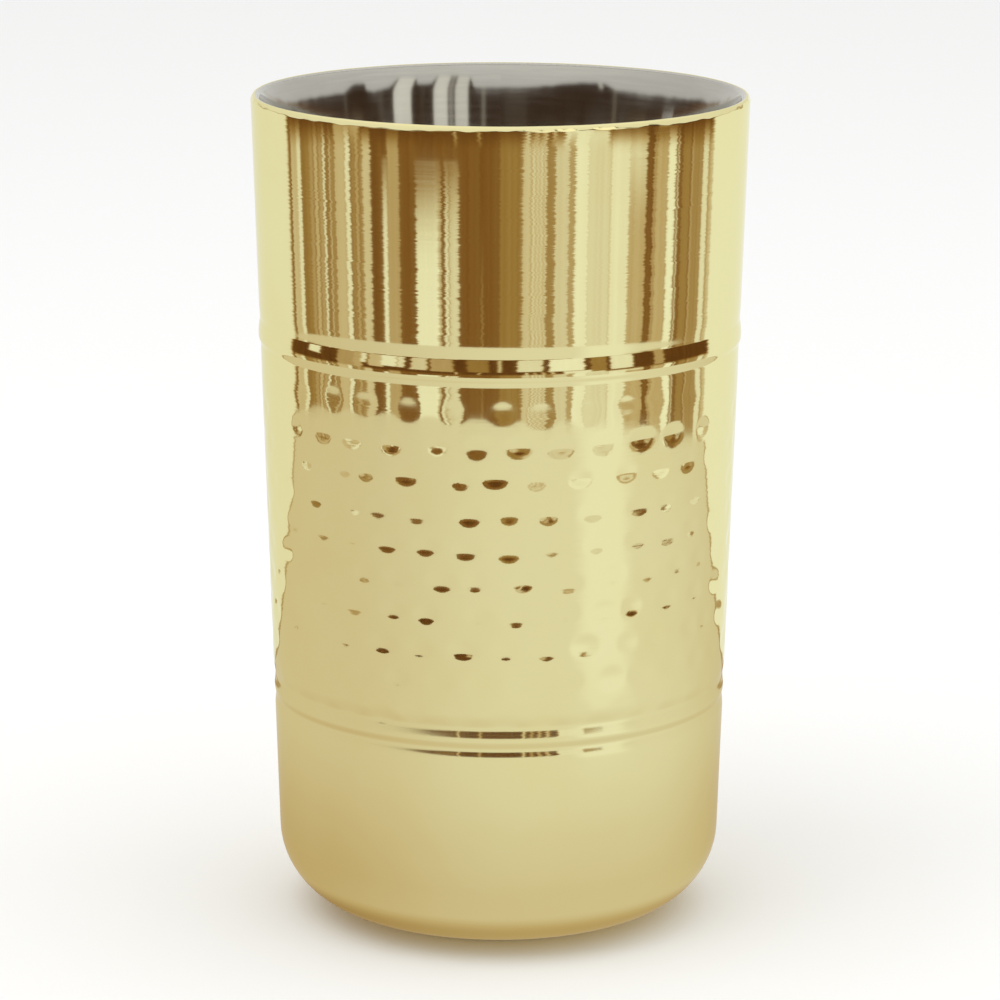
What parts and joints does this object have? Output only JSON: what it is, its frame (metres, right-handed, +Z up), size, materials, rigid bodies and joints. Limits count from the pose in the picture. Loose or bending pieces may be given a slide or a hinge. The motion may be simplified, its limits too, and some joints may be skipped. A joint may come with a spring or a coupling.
{
  "type": "bottle cooler",
  "caption": "Free-standing double-wall bottle cooler: tapered hammered metal shell with rolled beads and a rounded foot, satin inner liner.",
  "frame": {"origin": "middle of the footprint, on the surface that the cooler stands on", "axes": "+Z up along the axis of revolution, out of the mouth; X and Y are equivalent, because every solid is turned about Z"},
  "size_m": [0.1186, 0.1186, 0.2],
  "materials": {
    "gold_finish": "polished pale gold plating, hammered between the bead and the grooves",
    "satin_liner": "satin stainless steel, brushed around the axis",
    "polished_rim": "polished stainless steel seam",
    "pressed_base": "mill-finish stainless steel",
    "base_seam": "as-welded stainless steel",
    "plug_silicone": "matt grey silicone",
    "pad_rubber": "matt black non-slip rubber"
  },
  "bodies": {
    "root": {"outer_shell": "gold_finish", "inner_liner": "satin_liner", "rim_weld": "polished_rim", "base_plate": "pressed_base", "base_weld": "base_seam", "vent_plug": "plug_silicone", "foot_pad": "pad_rubber"}
  },
  "joints": []
}
